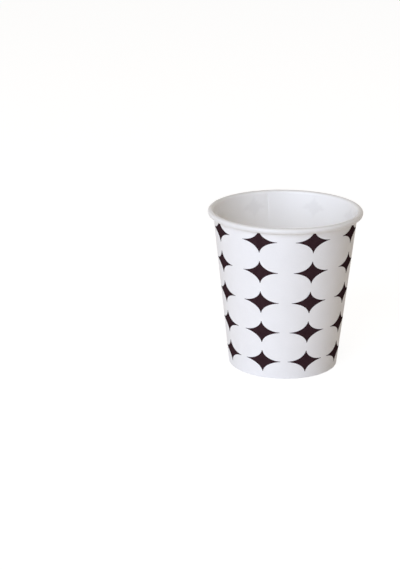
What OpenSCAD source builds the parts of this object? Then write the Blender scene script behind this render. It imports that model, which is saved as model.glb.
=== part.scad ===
// Single-wall paper cup: a conical side wall with a lapped seam and a rolled rim,
// a recessed bottom disc held in the folded foot, and a print of four-pointed stars.
// The foot stands on z = 0 and the cup's axis is Z. Sizes are in millimetres.

/* [Cup] */
// Height over the rolled rim
cup_height = 76; // [60:0.5:110]
// Diameter over the rolled rim
rim_diameter = 73; // [68:0.5:86]
// Diameter over the foot
foot_diameter = 52; // [46:0.5:58]
// Thickness of the side wall's board
wall_board = 0.3; // [0.2:0.01:0.4]

/* [Rolled rim] */
// Diameter of the roll's section
roll_diameter = 2.75; // [2:0.05:3.5]
// Gap left between the roll's cut edge and the wall
roll_gap = 0.1; // [0.05:0.01:0.3]

/* [Side seam] */
// Direction of the seam's inner cut edge, counter-clockwise from +X
seam_direction = 105; // [60:1:120]
// Width of the glued lap at the rim
lap_width = 7; // [5:0.5:10]
// Depth to which the lap is pressed into the layer under it, at the rim
lap_press = 0.03; // [0.01:0.01:0.06]

/* [Foot] */
// Height to which the board's lower edge is turned up inside the foot
hem_height = 5; // [3:0.5:5.5]
// Height of the pressed fold below the seam
fold_height = 1; // [0.8:0.1:2]
// Rounding of the fold's two edges
fold_rounding = 0.22; // [0.1:0.02:0.3]

/* [Bottom disc] */
// Height of the disc's upper face above the table
disc_height = 7; // [6.5:0.5:12]
// Thickness of the disc's board
disc_board = 0.28; // [0.2:0.02:0.36]
// Inside radius of the bend from the disc into its skirt
disc_bend = 0.5; // [0.3:0.1:0.8]
// Glue line on each face of the skirt
glue_line = 0.02; // [0.01:0.01:0.05]

/* [Star print] */
// Width of a star from tip to tip
star_width = 17; // [10:0.2:18]
// Height of a star from tip to tip
star_height = 10.8; // [6:0.2:14]
// Distance of the hollow sides' centres from the star's centre, in half stars
star_hollow = 1.12; // [1.1:0.01:1.6]
// Bluntness of the tips, in half stars
star_blunt = 0.014; // [0.004:0.001:0.03]
// Height of the lowest row's centres
first_row = 8.8; // [8:0.1:14]
// Rise from one row to the next
row_pitch = 14.95; // [14:0.05:22]
// Number of columns
star_columns = 8; // [3:1:8]
// Turn from one column to the next, in degrees
column_pitch = 43.9; // [40:0.1:44.4]
// Direction of the middle of the print, counter-clockwise from +X
print_direction = -88.6; // [-96:0.1:-80]
// Thickness of the ink
ink_film = 0.05; // [0.03:0.01:0.09]

/* [Hidden] */

$fn = 180;
board_white = [0.92, 0.93, 0.95];
disc_white = [0.89, 0.89, 0.89];
ink_brown = [0.2, 0.15, 0.16];

foot_r = foot_diameter / 2;
rim_r = rim_diameter / 2;

// The roll is a tube of board: its outside is the inner face of the wall, turned over
roll_r = roll_diameter / 2;
roll_core = roll_r - wall_board;
roll_axis = [rim_r - roll_r, cup_height - roll_r];

// Surfaces that would only touch are set this much into each other, so that they cross
nip = 0.004;
// Half of the arc over which wall and roll run into each other, in degrees
root_turn = 8;

// The wall's outer face leaves the foot's edge and runs into the core of the roll
foot_to_roll = roll_axis - [foot_r, 0];
wall_slope = atan(foot_to_roll.x / foot_to_roll.y) - asin((roll_core - nip) / norm(foot_to_roll));

// The roll starts where the wall meets it, and its cut edge comes back round to the wall
roll_start = 180 - wall_slope;
roll_end = roll_start + acos((roll_core - roll_gap) / roll_r);

function polar(radius, angle) = radius * [cos(angle), sin(angle)];
function arc(centre, radius, from, to, steps) =
    [for (i = [0:steps]) centre + polar(radius, from + (to - from) * i / steps)];
// Point in the section at height z, a depth under the outer face of the wall
function on_wall(z, depth) = [foot_r + z * tan(wall_slope) - depth / cos(wall_slope), z];

// Top corners of the straight wall, both inside the board of the roll
wall_top_inside = roll_axis + polar(roll_r - nip, roll_start);
wall_top_outside = roll_axis + polar((roll_core - nip) / cos(root_turn), roll_start - root_turn);

// At the seam the sheet runs straight out over its own cut edge, then laps round it
seam_step = wall_board / cos(wall_slope) - lap_press;
ramp_turn = acos(wall_top_inside.x / (wall_top_inside.x + seam_step));
ramp_direction = seam_direction + ramp_turn;
lap_turn = lap_width / (wall_top_inside.x + seam_step) * 180 / PI;
lap_direction = seam_direction - lap_turn;
seam_low = fold_height;
seam_high = roll_axis.y - wall_board;

// Layers of the foot, as depths under the outer face of the wall
skirt_outside = wall_board + glue_line;
skirt_inside = skirt_outside + disc_board;
hem_outside = skirt_inside + glue_line;
hem_inside = hem_outside + wall_board;
fold_edge = min(fold_rounding, 0.8 * wall_board);
fold_steps = 4;

// Bend of the bottom disc, which touches the disc's upper face and the skirt's outer face
bend_outside = disc_bend + disc_board;
bend_axis = on_wall(disc_height - bend_outside, skirt_outside + bend_outside);
bend_steps = 8;
skirt_low = wall_board + glue_line;

// The print covers the wall from above the fold to just under the roll
print_low = fold_height;
print_high = roll_axis.y - roll_r - ink_film;
star_rows = floor((print_high - first_row) / row_pitch) + 1;
star_side_r = norm([star_hollow - 1, star_hollow - star_blunt]);

// Straight wall and folded foot, open upwards inside the foot for the disc's skirt
module wall_section() {
    polygon(concat(
        arc(on_wall(fold_edge, hem_inside - fold_edge), fold_edge, 180 - wall_slope, 270, fold_steps),
        arc(on_wall(fold_edge, fold_edge), fold_edge, 270, 360 - wall_slope, fold_steps),
        [
            wall_top_outside,
            wall_top_inside,
            on_wall(wall_board, wall_board),
            on_wall(wall_board, hem_outside),
            on_wall(hem_height, hem_outside),
            on_wall(hem_height, hem_inside),
        ]
    ));
}

// Tube of the rolled rim, cut open from its root in the wall round to its cut edge
module roll_section() {
    root_inside = polar(roll_core, roll_start);
    root_outside = polar(roll_r, roll_start + root_turn);
    root_line = root_outside - root_inside;
    translate(roll_axis)
        difference() {
            circle(roll_r);
            circle(roll_core);
            polygon([
                root_inside - root_line,
                root_outside + root_line,
                polar(2 * roll_r, roll_end),
                polar(roll_core / 2, roll_end),
            ]);
        }
}

// Everything on the inner side of the ramp, down to a depth under the sheet's outer face
module behind_ramp(depth, low, high) {
    rotate([90, 0, ramp_direction])
        linear_extrude(rim_r)
        polygon([[0, low], on_wall(low, depth), on_wall(high, depth), [0, high]]);
}

// Ramp and lap, with a film on their outer face and their back at a depth inside the wall
module seam_bulge(film, back, low, high) {
    intersection() {
        rotate_extrude(start = lap_direction, angle = lap_turn + 2 * ramp_turn)
            polygon([
                on_wall(low, back),
                [on_wall(low, -film).x / cos(ramp_turn), low],
                [on_wall(high, -film).x / cos(ramp_turn), high],
                on_wall(high, back),
            ]);
        behind_ramp(nip - film, 0, cup_height);
    }
}

// Hollow that the ramp leaves on the inside, up to the inner cut edge
module seam_recess() {
    intersection() {
        rotate_extrude(start = seam_direction, angle = 2 * ramp_turn)
            polygon([
                on_wall(seam_low, skirt_outside),
                on_wall(seam_low, -wall_board),
                on_wall(seam_high, -wall_board),
                on_wall(seam_high, skirt_outside),
            ]);
        behind_ramp(wall_board + nip, 0, cup_height);
    }
}

// Outer layer of the wall with the seam on it, under a film of a given thickness
module outer_layer(film, back, low, high) {
    rotate_extrude()
        polygon([
            on_wall(low, back),
            on_wall(low, -film),
            on_wall(high, -film),
            on_wall(high, back),
        ]);
    seam_bulge(film, back, low, high);
}

// Four-pointed star with hollow sides, flat and centred
module star_outline() {
    scale([star_width / 2, star_height / 2])
        difference() {
            square(2, center = true);
            for (x = [-1, 1], y = [-1, 1])
                translate(star_hollow * [x, y]) circle(star_side_r);
        }
}

// Star carried through the wall along its normal, at a height and a direction
module star_prism(height, direction) {
    face = on_wall(height, 0);
    sag = face.x - sqrt(face.x ^ 2 - (star_width / 2) ^ 2);
    rotate([0, 0, direction])
        translate([face.x, 0, height])
        rotate([0, wall_slope, 0])
        rotate([90, 0, 90])
        translate([0, 0, -sag - wall_board])
        linear_extrude(sag + 3 * wall_board)
        star_outline();
}

module side_wall() {
    color(board_white)
        difference() {
            union() {
                rotate_extrude() {
                    wall_section();
                    roll_section();
                }
                seam_bulge(0, wall_board / 2, seam_low, roll_axis.y);
            }
            seam_recess();
        }
}

module bottom_disc() {
    color(disc_white)
        rotate_extrude()
        polygon(concat(
            [[0, disc_height - disc_board]],
            arc(bend_axis, disc_bend, 90, -wall_slope, bend_steps),
            [on_wall(skirt_low, skirt_inside), on_wall(skirt_low, skirt_outside)],
            arc(bend_axis, bend_outside, -wall_slope, 90, bend_steps),
            [[0, disc_height]]
        ));
}

module star_print() {
    color(ink_brown)
        intersection() {
            difference() {
                outer_layer(ink_film, wall_board / 4, print_low, print_high);
                outer_layer(0, wall_board / 2, 0, roll_axis.y);
            }
            for (column = [0:star_columns - 1], row = [0:star_rows - 1])
                star_prism(
                    first_row + row * row_pitch,
                    print_direction + (column - (star_columns - 1) / 2) * column_pitch
                );
        }
}

side_wall();
bottom_disc();
star_print();
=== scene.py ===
"""Looks of the paper cup: board, lining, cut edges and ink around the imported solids."""

import math

import bpy
from mathutils import Matrix, Vector


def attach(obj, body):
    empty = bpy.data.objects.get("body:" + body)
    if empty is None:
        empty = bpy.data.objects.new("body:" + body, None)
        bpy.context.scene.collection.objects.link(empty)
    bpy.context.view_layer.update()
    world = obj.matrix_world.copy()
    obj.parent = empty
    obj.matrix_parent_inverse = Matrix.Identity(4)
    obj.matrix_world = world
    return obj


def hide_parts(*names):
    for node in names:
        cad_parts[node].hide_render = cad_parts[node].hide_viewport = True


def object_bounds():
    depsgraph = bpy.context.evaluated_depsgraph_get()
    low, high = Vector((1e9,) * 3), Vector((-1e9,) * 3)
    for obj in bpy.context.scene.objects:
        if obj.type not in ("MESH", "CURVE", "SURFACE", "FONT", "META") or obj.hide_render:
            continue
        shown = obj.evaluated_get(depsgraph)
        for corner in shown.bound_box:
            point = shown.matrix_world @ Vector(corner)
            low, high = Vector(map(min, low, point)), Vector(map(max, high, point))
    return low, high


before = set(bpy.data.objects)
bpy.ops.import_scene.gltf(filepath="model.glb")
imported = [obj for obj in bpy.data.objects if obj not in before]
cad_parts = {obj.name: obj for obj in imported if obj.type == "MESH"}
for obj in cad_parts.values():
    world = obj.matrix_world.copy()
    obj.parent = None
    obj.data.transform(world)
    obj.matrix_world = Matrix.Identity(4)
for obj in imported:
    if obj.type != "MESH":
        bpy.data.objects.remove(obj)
cad_low, cad_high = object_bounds()

# Sizes of the cup, in metres and degrees
MM = 0.001
cup_height = cad_high.z
rim_radius = cad_high.x
foot_radius = 26 * MM
wall_board = 0.3 * MM
roll_radius = 1.375 * MM
roll_gap = 0.1 * MM
hem_height = 5 * MM
fold_height = 1 * MM
fold_rounding = 0.22 * MM
disc_height = 7 * MM
disc_board = 0.28 * MM
disc_bend = 0.5 * MM
glue_line = 0.02 * MM

# Roll: pressed a little square at its lower front; angles on it are from the level, 90 at its top
roll_squareness = 0.1 * MM
square_middle = -58.0
square_reach = 50.0

# Painted shade on the roll's lined face: full at the top, a share of it on the outside, none at the root
outside_roll_shade = 0.44
outside_until = 20.0
top_from = 70.0
top_until = 110.0
root_from = 175.0

# Side seam: directions are counter-clockwise from +X, seen from above
seam_direction = 105.0
lap_width = 7 * MM
lap_press = 0.03 * MM
roll_swelling = 0.05 * MM
swelling_past_root = 60.0
cut_edge_turn = 0.02
pressed_ramp_turn = 6.0
pressed_ramp_share = 1.75
edge_press = 0.12 * MM
edge_press_turn = 1.7
flattened_share = 0.25
flattened_below = 62 * MM
open_above = 69 * MM

# Print: rows and columns of stars, for the painted shade that they cast through the board onto the inside,
# and how soft it is there
star_half_width = 8.5 * MM
star_half_height = 5.4 * MM
star_hollow = 1.12
star_columns = 8
star_rows = 5
first_row = 8.8 * MM
row_pitch = 14.95 * MM
column_pitch = 43.9
print_direction = -88.6
soft_side = 0.06
soft_tip = 0.1

# Fineness of the meshes
round_steps = 300
seam_spacing = 0.31
seam_stations_before = 8
seam_stations_past = 19
edge_clearance = 0.4
wall_steps = 56
roll_steps = 32
fold_steps = 6
hem_steps = 8
bend_steps = 8
disc_steps = 12
sharp_turn = 35.0

# Values worked out from the sizes
roll_core = roll_radius - wall_board
roll_axis = Vector((rim_radius - roll_radius, cup_height - roll_radius))
foot_to_roll = roll_axis - Vector((foot_radius, 0))
wall_slope = math.atan2(foot_to_roll.x, foot_to_roll.y) - math.asin(roll_core / foot_to_roll.length)
roll_start = math.pi - wall_slope
roll_end = roll_start + math.acos((roll_core - roll_gap) / roll_radius) - 2 * math.pi
skirt_outside = wall_board + glue_line
skirt_inside = skirt_outside + disc_board
hem_outside = skirt_inside + glue_line
hem_inside = hem_outside + wall_board
seam_step = wall_board / math.cos(wall_slope) - lap_press
seam_radius = roll_axis.x - roll_radius
ramp_turn = math.degrees(math.acos(seam_radius / (seam_radius + seam_step)))
ramp_direction = seam_direction + ramp_turn
lap_direction = seam_direction - math.degrees(lap_width / (seam_radius + seam_step))


def smooth(low, high, value):
    """0 below low, 1 above high, and an even curve between them."""
    share = min(1.0, max(0.0, (value - low) / (high - low)))
    return share * share * (3 - 2 * share)


def on_wall(height, depth):
    """Point of the section at a height and a depth under the outer face."""
    radius = foot_radius + height * math.tan(wall_slope) - depth / math.cos(wall_slope)
    return Vector((radius, height))


def on_circle(centre, radius, angle):
    """Point of the section on a circle, at an angle from the level."""
    return centre + radius * Vector((math.cos(angle), math.sin(angle)))


def line(start, end, steps):
    """Points from start up to, but not including, end."""
    return [start.lerp(end, i / steps) for i in range(steps)]


def arc(centre, radius, start, end, steps):
    """Points on an arc from the angle start up to, but not including, the angle end."""
    return [on_circle(centre, radius, start + (end - start) * i / steps) for i in range(steps)]


def turned(radius, height, angle):
    """Point of the section in space, turned round the axis."""
    return Vector((radius * math.cos(angle), radius * math.sin(angle), height))


# Side wall: one sheet, turned up at the foot and rolled over at the rim
PRINTED, LINED, CUT = range(3)
part_material = {
    "hem": PRINTED,
    "fold": PRINTED,
    "outside": PRINTED,
    "core": PRINTED,
    "roll_edge": CUT,
    "roll": LINED,
    "inside": LINED,
    "pocket": LINED,
    "hem_edge": CUT,
}


def wall_outline():
    """Closed section of the sheet, as a list of (part, point).
    It follows the printed face, the roll's cut edge, the lined face and the hem's cut edge."""
    hem_top = on_wall(hem_height, hem_inside)
    hem_foot = on_wall(fold_rounding, hem_inside)
    inner_centre = on_wall(fold_rounding, hem_inside - fold_rounding)
    outer_centre = on_wall(fold_rounding, fold_rounding)
    wall_foot = on_wall(fold_rounding, 0)
    root_out = on_circle(roll_axis, roll_core, roll_start)
    root_in = on_circle(roll_axis, roll_radius, roll_start)
    cut_in = on_circle(roll_axis, roll_core, roll_end)
    fold_in = on_wall(wall_board, wall_board)
    fold_out = on_wall(wall_board, hem_outside)
    pocket_top = on_wall(hem_height, hem_outside)
    down = 1.5 * math.pi
    stretches = [
        ("hem", line(hem_top, hem_foot, hem_steps)),
        ("fold", arc(inner_centre, fold_rounding, math.pi - wall_slope, down, fold_steps)),
        ("fold", arc(outer_centre, fold_rounding, down, 2 * math.pi - wall_slope, fold_steps)),
        ("outside", line(wall_foot, root_out, wall_steps)),
        ("core", arc(roll_axis, roll_core, roll_start, roll_end, roll_steps)),
        ("roll_edge", [cut_in]),
        ("roll", arc(roll_axis, roll_radius, roll_end, roll_start, roll_steps)),
        ("inside", line(root_in, fold_in, wall_steps)),
        ("pocket", line(fold_in, fold_out, 1)),
        ("pocket", line(fold_out, pocket_top, hem_steps)),
        ("hem_edge", [pocket_top]),
    ]
    return [(part, point) for part, points in stretches for point in points]


def ramp_rise(turn, radius):
    """How far the sheet stands off the round wall, a turn after it has left it straight on."""
    return radius * (1 / math.cos(math.radians(turn)) - 1)


def seam_rise(part, point, direction):
    """Outward shift of a point of the section at the side seam.
    Inside, the ramp is pressed close to the cut edge, and the layer over it is crushed a little there.
    Both stand open below the roll and are pressed flatter further down."""
    if part not in ("outside", "inside") or not lap_direction < direction < ramp_direction:
        return 0.0
    above_fold = smooth(fold_height, 2 * fold_height, point.y)
    below_roll = 1 - smooth(roll_axis.y - roll_radius, roll_axis.y, point.y)
    pressed = flattened_share + (1 - flattened_share) * smooth(flattened_below, open_above, point.y)
    past_edge = direction - seam_direction
    if part == "outside":
        rise = ramp_rise(min(ramp_turn, ramp_turn - past_edge), point.x)
    elif past_edge > 0:
        way = max(0.0, 1 - past_edge / pressed_ramp_turn)
        rise = ramp_rise(ramp_turn, point.x) * pressed_ramp_share * pressed * way ** 2
    else:
        rise = edge_press * pressed * smooth(-edge_press_turn, 0.0, past_edge)
    return rise * above_fold * below_roll


def roll_angle(point):
    """Angle of a point on the roll, in degrees."""
    from_axis = point - roll_axis
    return math.degrees(math.atan2(from_axis.y, from_axis.x))


def roll_rise(part, point, direction):
    """Shift of a point of the roll away from its axis.
    The roll is a little square at its lower front, and it swells over the lap."""
    if part != "roll":
        return 0.0
    angle = roll_angle(point)
    off_middle = min(1.0, abs(angle - square_middle) / square_reach)
    squareness = roll_squareness * math.cos(off_middle * math.pi / 2) ** 2
    if not lap_direction < direction < seam_direction:
        return squareness
    over_root = smooth(0.0, swelling_past_root, math.degrees(roll_start) - angle)
    over_lap = smooth(lap_direction, lap_direction + ramp_turn / 2, direction)
    return squareness + roll_swelling * over_root * over_lap


def wall_point(part, point, direction):
    """Place of a point of the section, turned to a direction."""
    swollen = point + (point - roll_axis).normalized() * roll_rise(part, point, direction)
    radius = swollen.x + seam_rise(part, point, direction)
    return turned(radius, swollen.y, math.radians(direction))


def wall_directions():
    """Directions of the wall's stations, closer at the seam and with a close pair at each cut edge."""
    stations = [360 * i / round_steps for i in range(round_steps)]
    near_seam = range(-seam_stations_before, seam_stations_past + 1)
    stations += [seam_direction + seam_spacing * i for i in near_seam]
    edges = [lap_direction, seam_direction]
    stations = [a for a in stations if min(abs(a - e) for e in edges) > edge_clearance]
    pairs = [e + side * cut_edge_turn for e in edges for side in (-1, 1)]
    return sorted(stations + pairs + [ramp_direction])


def wall_slots(outline, direction):
    """Material of each stretch of the section at a station; a face is cut board where the sheet ends."""
    slots = [part_material[part] for part, point in outline]
    for edge, face in ((lap_direction, "outside"), (seam_direction, "inside")):
        if edge - 2 * cut_edge_turn < direction < edge:
            slots = [CUT if part == face else slot for slot, (part, point) in zip(slots, outline)]
    return slots


def turned_mesh(name, rings, materials, slots, poles=()):
    """Mesh through rings of points round the axis. slots gives the material of each ring's segments.
    With no poles each ring is a closed section, and with two it runs from the first pole to the last."""
    count = len(rings[0])
    points = [point for ring in rings for point in ring]
    faces = []
    face_slots = []
    spans = count - 1 if poles else count
    for station in range(len(rings)):
        here = station * count
        there = (station + 1) % len(rings) * count
        for i in range(spans):
            after = (i + 1) % count
            faces.append((here + i, there + i, there + after, here + after))
            face_slots.append(slots[station][i])
        if poles:
            first = len(rings) * count
            faces.append((first, there, here))
            faces.append((first + 1, here + count - 1, there + count - 1))
            face_slots += [slots[station][0], slots[station][-1]]
    mesh = bpy.data.meshes.new(name)
    mesh.from_pydata(points + list(poles), [], faces)
    for material in materials:
        mesh.materials.append(material)
    mesh.polygons.foreach_set("material_index", face_slots)
    mesh.polygons.foreach_set("use_smooth", [True] * len(faces))
    mesh.set_sharp_from_angle(angle=math.radians(sharp_turn))
    mesh.validate()
    made = bpy.data.objects.new(name, mesh)
    bpy.context.scene.collection.objects.link(made)
    return made


def add_attribute(mesh, name, values):
    """Value at each point of a mesh, for its materials."""
    mesh.attributes.new(name, "FLOAT", "POINT").data.foreach_set("value", values)


def star_cover(direction, height):
    """1 behind a printed star and 0 beside it, with a soft edge, as seen through the board: the mask for the
    print's painted shade on the inside.
    """
    middle = (star_columns - 1) / 2
    turn = (direction - print_direction + 180) % 360 - 180
    column = min(max(round(turn / column_pitch + middle), 0), star_columns - 1)
    row = min(max(round((height - first_row) / row_pitch), 0), star_rows - 1)
    off_turn = math.radians(turn - (column - middle) * column_pitch)
    off_height = height - first_row - row * row_pitch
    across = abs(on_wall(height, 0).x * off_turn) / star_half_width
    along = abs(off_height) / math.cos(wall_slope) / star_half_height
    side = math.hypot(star_hollow - 1, star_hollow)
    reach = math.hypot(star_hollow - across, star_hollow - along)
    inside = smooth(side - soft_side, side + soft_side, reach)
    return inside * (1 - smooth(1 - soft_tip, 1 + soft_tip, max(across, along)))


def rolled_share(point):
    """How much painted shade greys the roll: none at the wall, most at the top, less on the outside."""
    angle = roll_angle(point)
    past_root = 1 - smooth(top_until, root_from, angle)
    towards_top = smooth(outside_until, top_from, angle)
    return past_root * (outside_roll_shade + (1 - outside_roll_shade) * towards_top)


def make_wall(materials):
    """Side wall with its seam, its roll and its folded foot."""
    outline = wall_outline()
    directions = wall_directions()
    rings = [[wall_point(part, p, d) for part, p in outline] for d in directions]
    slots = [wall_slots(outline, d) for d in directions]
    made = turned_mesh("cup_wall", rings, materials, slots)
    places = [(part, p, d) for d in directions for part, p in outline]
    # Painted shade on the lining where the print stands behind the board
    show_through = [star_cover(d, p.y) if part == "inside" else 0.0 for part, p, d in places]
    # Painted shade on the roll, most at its top
    rolled = [rolled_share(p) if part == "roll" else 0.0 for part, p, d in places]
    crimp = [1.0 if part == "hem" else 0.0 for part, p, d in places]
    add_attribute(made.data, "show_through", show_through)
    add_attribute(made.data, "rolled", rolled)
    add_attribute(made.data, "crimp", crimp)
    return made


def make_disc(material):
    """Bottom disc with its bend and its skirt."""
    outer_bend = disc_bend + disc_board
    centre = on_wall(disc_height - outer_bend, skirt_outside + outer_bend)
    skirt_low = wall_board + glue_line
    top = Vector((0, disc_height))
    under = Vector((0, disc_height - disc_board))
    upper_edge = Vector((centre.x, disc_height))
    lower_edge = Vector((centre.x, disc_height - disc_board))
    outline = [
        *line(under, lower_edge, disc_steps)[1:],
        *arc(centre, disc_bend, math.pi / 2, -wall_slope, bend_steps),
        *line(on_wall(centre.y, skirt_inside), on_wall(skirt_low, skirt_inside), hem_steps),
        on_wall(skirt_low, skirt_inside),
        *line(on_wall(skirt_low, skirt_outside), on_wall(centre.y, skirt_outside), hem_steps),
        *arc(centre, outer_bend, -wall_slope, math.pi / 2, bend_steps),
        *line(upper_edge, top, disc_steps),
    ]
    angles = [2 * math.pi * i / round_steps for i in range(round_steps)]
    rings = [[turned(p.x, p.y, a) for p in outline] for a in angles]
    poles = [turned(0, under.y, 0), turned(0, top.y, 0)]
    slots = [[0] * len(outline)] * round_steps
    return turned_mesh("cup_bottom", rings, [material], slots, poles)


# Colours, each a lighter and a darker one where the surface varies
printed_white = ((0.945, 0.945, 0.95, 1), (0.905, 0.905, 0.91, 1))
lining_white = ((0.988, 0.983, 0.974, 1), (0.976, 0.97, 0.96, 1))
cut_white = ((0.86, 0.85, 0.82, 1), (0.74, 0.72, 0.68, 1))
ink_brown = ((0.051, 0.028, 0.033, 1), (0.031, 0.014, 0.0175, 1))
# Grey of the painted shade that the print casts through the board onto the lining
print_shade_grey = (0.35, 0.33, 0.34, 1)
# Grey of the painted shade on the roll
roll_shade_grey = (0.68, 0.675, 0.67, 1)
floor_lit = (0.8, 0.75, 0.69, 1)
plain_white = (1, 1, 1, 1)

# Detail of the materials
# Strength of that painted print shade on the lining
show_through_share = 0.095
crimp_ribs = 120.0
fibres_per_metre = 900
fibre_stretch = (1, 1, 3)
clouds_per_metre = 140
cut_fibres_per_metre = 4000
ink_clouds_per_metre = 500
sheen_clouds_per_metre = 220
ripples_per_metre = 90


def fill(tree, node, inputs):
    """Set a node's inputs to values, or link them to sockets."""
    for name, value in inputs.items():
        if isinstance(value, bpy.types.NodeSocket):
            tree.links.new(value, node.inputs[name])
        else:
            node.inputs[name].default_value = value


def add(tree, kind, inputs=None, **settings):
    """New node with its settings and its inputs."""
    made = tree.nodes.new(kind)
    for name, value in settings.items():
        setattr(made, name, value)
    fill(tree, made, inputs or {})
    return made


def math_node(tree, operation, *values):
    """Output of a math node."""
    return add(tree, "ShaderNodeMath", dict(enumerate(values)), operation=operation).outputs[0]


def place_in(tree, space):
    """Separate X, Y and Z of a place in the object's or the generated space."""
    place = add(tree, "ShaderNodeTexCoord").outputs[space]
    return add(tree, "ShaderNodeSeparateXYZ", {0: place}).outputs


def noise(tree, per_metre, detail=3.0, stretch=None):
    """Noise in the cup's own space, with a number of features to a metre."""
    place = add(tree, "ShaderNodeTexCoord").outputs["Object"]
    if stretch:
        place = add(tree, "ShaderNodeMapping", {"Vector": place, "Scale": stretch}).outputs[0]
    inputs = {"Vector": place, "Scale": per_metre, "Detail": detail}
    return add(tree, "ShaderNodeTexNoise", inputs).outputs[0]


def to_range(tree, value, low, high):
    """Value from 0 to 1 brought to the range from low to high."""
    inputs = {"Value": value, "To Min": low, "To Max": high}
    return add(tree, "ShaderNodeMapRange", inputs).outputs[0]


def mix(tree, share, first, second):
    """Colour between two others."""
    return add(tree, "ShaderNodeMix", {0: share, 6: first, 7: second}, data_type="RGBA").outputs[2]


def bump(tree, height, strength, depth, under=None):
    """Normal of a surface with a height on it, over the normal of another bump if there is one."""
    inputs = {"Height": height, "Strength": strength, "Distance": depth}
    if under:
        inputs["Normal"] = under
    return add(tree, "ShaderNodeBump", inputs).outputs[0]


def attribute(tree, name):
    """Value that the mesh has at its points."""
    return add(tree, "ShaderNodeAttribute", attribute_name=name).outputs["Fac"]


def new_material(name):
    """Material with its node tree and its main shader."""
    made = bpy.data.materials.new(name)
    made.use_nodes = True
    return made, made.node_tree, made.node_tree.nodes["Principled BSDF"]


def fibre_noise(tree):
    """Fine fibres that lie mostly round the cup."""
    return noise(tree, fibres_per_metre, detail=4.0, stretch=fibre_stretch)


def board_colour(tree, white, fibre):
    """White of the board: a cloudy formation and fine fibres, both faint."""
    cloud = noise(tree, clouds_per_metre, detail=2.0)
    share = math_node(tree, "ADD", to_range(tree, cloud, -0.2, 0.7), to_range(tree, fibre, -0.25, 0.75))
    return mix(tree, share, *white)


def printed_board():
    """Matt outer face of the board, with the crimp of the foot's hem."""
    material, tree, shader = new_material("printed_board")
    fibre = fibre_noise(tree)
    place = place_in(tree, "Object")
    angle = math_node(tree, "ARCTAN2", place["Y"], place["X"])
    rib = math_node(tree, "SINE", math_node(tree, "MULTIPLY", angle, crimp_ribs))
    ribs = math_node(tree, "MULTIPLY", rib, attribute(tree, "crimp"))
    grain = bump(tree, fibre, strength=0.12, depth=0.04 * MM)
    fill(tree, shader, {
        "Base Color": board_colour(tree, printed_white, fibre),
        "Roughness": to_range(tree, fibre, 0.5, 0.68),
        "Specular IOR Level": 0.35,
        "Normal": bump(tree, ribs, strength=0.6, depth=0.06 * MM, under=grain),
    })
    return material


def lined_board():
    """Lined inner face of the board: smoother, with a soft sheen, and greyed with painted shade where the
    print stands behind it.
    It is greyer on the roll, which is painted shade."""
    material, tree, shader = new_material("lined_board")
    fibre = fibre_noise(tree)
    white = board_colour(tree, lining_white, fibre)
    # Painted shade: the lining is greyed where a star is printed behind it
    print_shade_amount = math_node(tree, "MULTIPLY", attribute(tree, "show_through"), show_through_share)
    dimmed = mix(tree, print_shade_amount, white, print_shade_grey)
    ripple = bump(tree, noise(tree, ripples_per_metre, detail=2.0), strength=0.1, depth=0.2 * MM)
    fill(tree, shader, {
        # Painted shade: the roll is greyed, most at its top
        "Base Color": mix(tree, attribute(tree, "rolled"), dimmed, roll_shade_grey),
        "Roughness": to_range(tree, noise(tree, sheen_clouds_per_metre), 0.36, 0.48),
        "Specular IOR Level": 0.5,
        "Normal": bump(tree, fibre, strength=0.06, depth=0.03 * MM, under=ripple),
    })
    return material


def cut_board():
    """Cut edges of the board: bare fibres, a little darker and warmer."""
    material, tree, shader = new_material("cut_board")
    fibre = noise(tree, cut_fibres_per_metre)
    fill(tree, shader, {
        "Base Color": mix(tree, fibre, *cut_white),
        "Roughness": 0.85,
        "Normal": bump(tree, fibre, strength=0.4, depth=0.05 * MM),
    })
    return material


def star_ink():
    """Brown-black ink with an uneven lay over the board's grain."""
    material, tree, shader = new_material("star_ink")
    fibre = fibre_noise(tree)
    lay = noise(tree, ink_clouds_per_metre)
    share = math_node(tree, "ADD", to_range(tree, lay, -0.3, 0.7), to_range(tree, fibre, -0.2, 0.7))
    lighter, darker = ink_brown
    fill(tree, shader, {
        "Base Color": mix(tree, share, darker, lighter),
        "Roughness": to_range(tree, fibre, 0.45, 0.62),
        "Specular IOR Level": 0.0,
        "Normal": bump(tree, fibre, strength=0.15, depth=0.04 * MM),
    })
    return material


# Floor, light and camera
floor_glow = 0.9
floor_shade = (0.2, 0.2, 0.2, 1)
floor_half = 6.0
floor_drop = 0.02 * MM


def seen_rays(tree):
    """1 for the rays that show a surface: from the camera, in reflections and through clear things."""
    path = add(tree, "ShaderNodeLightPath").outputs
    seen = math_node(tree, "MAXIMUM", path["Is Camera Ray"], path["Is Glossy Ray"])
    return math_node(tree, "MAXIMUM", seen, path["Is Transmission Ray"])


def floor_material():
    """Pale floor that looks white and keeps the cup's soft shadow."""
    material, tree, shader = new_material("pale_floor")
    tree.nodes.remove(shader)
    plain = add(tree, "ShaderNodeBsdfDiffuse", {"Color": floor_lit}).outputs[0]
    white = add(tree, "ShaderNodeEmission", {"Color": plain_white, "Strength": floor_glow}).outputs[0]
    shadowed = add(tree, "ShaderNodeBsdfDiffuse", {"Color": floor_shade}).outputs[0]
    shown = add(tree, "ShaderNodeAddShader", {0: shadowed, 1: white}).outputs[0]
    both = add(tree, "ShaderNodeMixShader", {0: seen_rays(tree), 1: plain, 2: shown}).outputs[0]
    fill(tree, tree.nodes["Material Output"], {"Surface": both})
    return material


def make_floor():
    """Large plain floor under the cup."""
    signs = [(-1, -1), (1, -1), (1, 1), (-1, 1)]
    corners = [(x * floor_half, y * floor_half, -floor_drop) for x, y in signs]
    mesh = bpy.data.meshes.new("floor")
    mesh.from_pydata(corners, [], [(0, 1, 2, 3)])
    mesh.materials.append(floor_material())
    floor = bpy.data.objects.new("floor", mesh)
    bpy.context.scene.collection.objects.link(floor)


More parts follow.
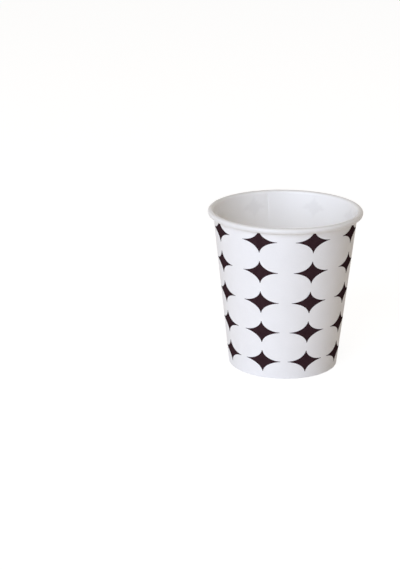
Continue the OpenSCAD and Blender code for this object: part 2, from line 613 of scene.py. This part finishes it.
def make_world(strength, lean, colour):
    """Soft light from all round, white where it is seen, and dimmer to the right by the share in lean."""
    world = bpy.data.worlds.new("studio")
    world.use_nodes = True
    tree = world.node_tree
    soft = tree.nodes["Background"]
    right = place_in(tree, "Generated")["X"]
    dimmed = math_node(tree, "MULTIPLY_ADD", right, -lean * strength, strength)
    fill(tree, soft, {"Color": colour, "Strength": dimmed})
    white = add(tree, "ShaderNodeBackground", {"Color": plain_white, "Strength": 1.0}).outputs[0]
    inputs = {0: seen_rays(tree), 1: soft.outputs[0], 2: white}
    both = add(tree, "ShaderNodeMixShader", inputs).outputs[0]
    fill(tree, tree.nodes["World Output"], {"Surface": both})
    bpy.context.scene.world = world


def make_lamp(name, direction, height, distance, size, power, colour):
    """Soft lamp that looks at the cup; size is the width and the length of its face.
    direction is a turn from the front to the right, and height an angle above the level, in degrees."""
    data = bpy.data.lights.new(name, "AREA")
    data.shape = "RECTANGLE"
    data.size, data.size_y = size
    data.energy = power
    data.color = colour
    lamp = bpy.data.objects.new(name, data)
    turn = math.radians(direction)
    lift = math.radians(height)
    level = math.cos(lift)
    away = Vector((math.sin(turn) * level, -math.cos(turn) * level, math.sin(lift)))
    lamp.location = Vector((0, 0, cup_height / 2)) + away * distance
    lamp.rotation_mode = "QUATERNION"
    lamp.rotation_quaternion = (-away).to_track_quat("-Z", "Y")
    bpy.context.scene.collection.objects.link(lamp)


def make_camera():
    """Camera above and in front of the cup, turned a little to the left of it."""
    image_width = 400
    image_height = 570
    cup_pixel = 283.956
    focal_pixels = 1498.9
    distance = 0.7184
    lift = math.radians(17.958)
    lean = math.radians(1.054)
    turn_left = math.atan2(cup_pixel - image_width / 2, focal_pixels)
    data = bpy.data.cameras.new("camera")
    data.sensor_width = 36
    data.lens = data.sensor_width * focal_pixels / image_height
    camera = bpy.data.objects.new("camera", data)
    target = Vector((0, 0, cup_height / 2))
    away = Vector((0, -math.cos(lift), math.sin(lift)))
    look = (-away).to_track_quat("-Z", "Y").to_matrix()
    turn = look @ Matrix.Rotation(lean, 3, "Z") @ Matrix.Rotation(turn_left, 3, "Y")
    camera.matrix_world = Matrix.LocRotScale(target + away * distance, turn.to_quaternion(), None)
    bpy.context.scene.collection.objects.link(camera)
    bpy.context.scene.camera = camera


# The cup
wall = make_wall([printed_board(), lined_board(), cut_board()])
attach(wall, "root")
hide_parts("side_wall")

bottom = make_disc(lined_board())
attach(bottom, "root")
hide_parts("bottom_disc")

ink = star_ink()
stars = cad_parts["star_print"]
for slot in stars.material_slots:
    slot.material = ink

# The studio
make_floor()
make_world(strength=0.285, lean=0.45, colour=(1.0, 0.9, 0.78, 1))
make_lamp(
    "key",
    direction=-25,
    height=23,
    distance=1.6,
    size=(0.9, 1.3),
    power=19.4,
    colour=(0.745, 0.832, 1.0),
)
make_lamp(
    "top",
    direction=70,
    height=83,
    distance=1.6,
    size=(0.9, 0.9),
    power=6.3,
    colour=(1.0, 0.87, 0.73),
)
make_camera()
bpy.context.scene.view_settings.view_transform = "Standard"
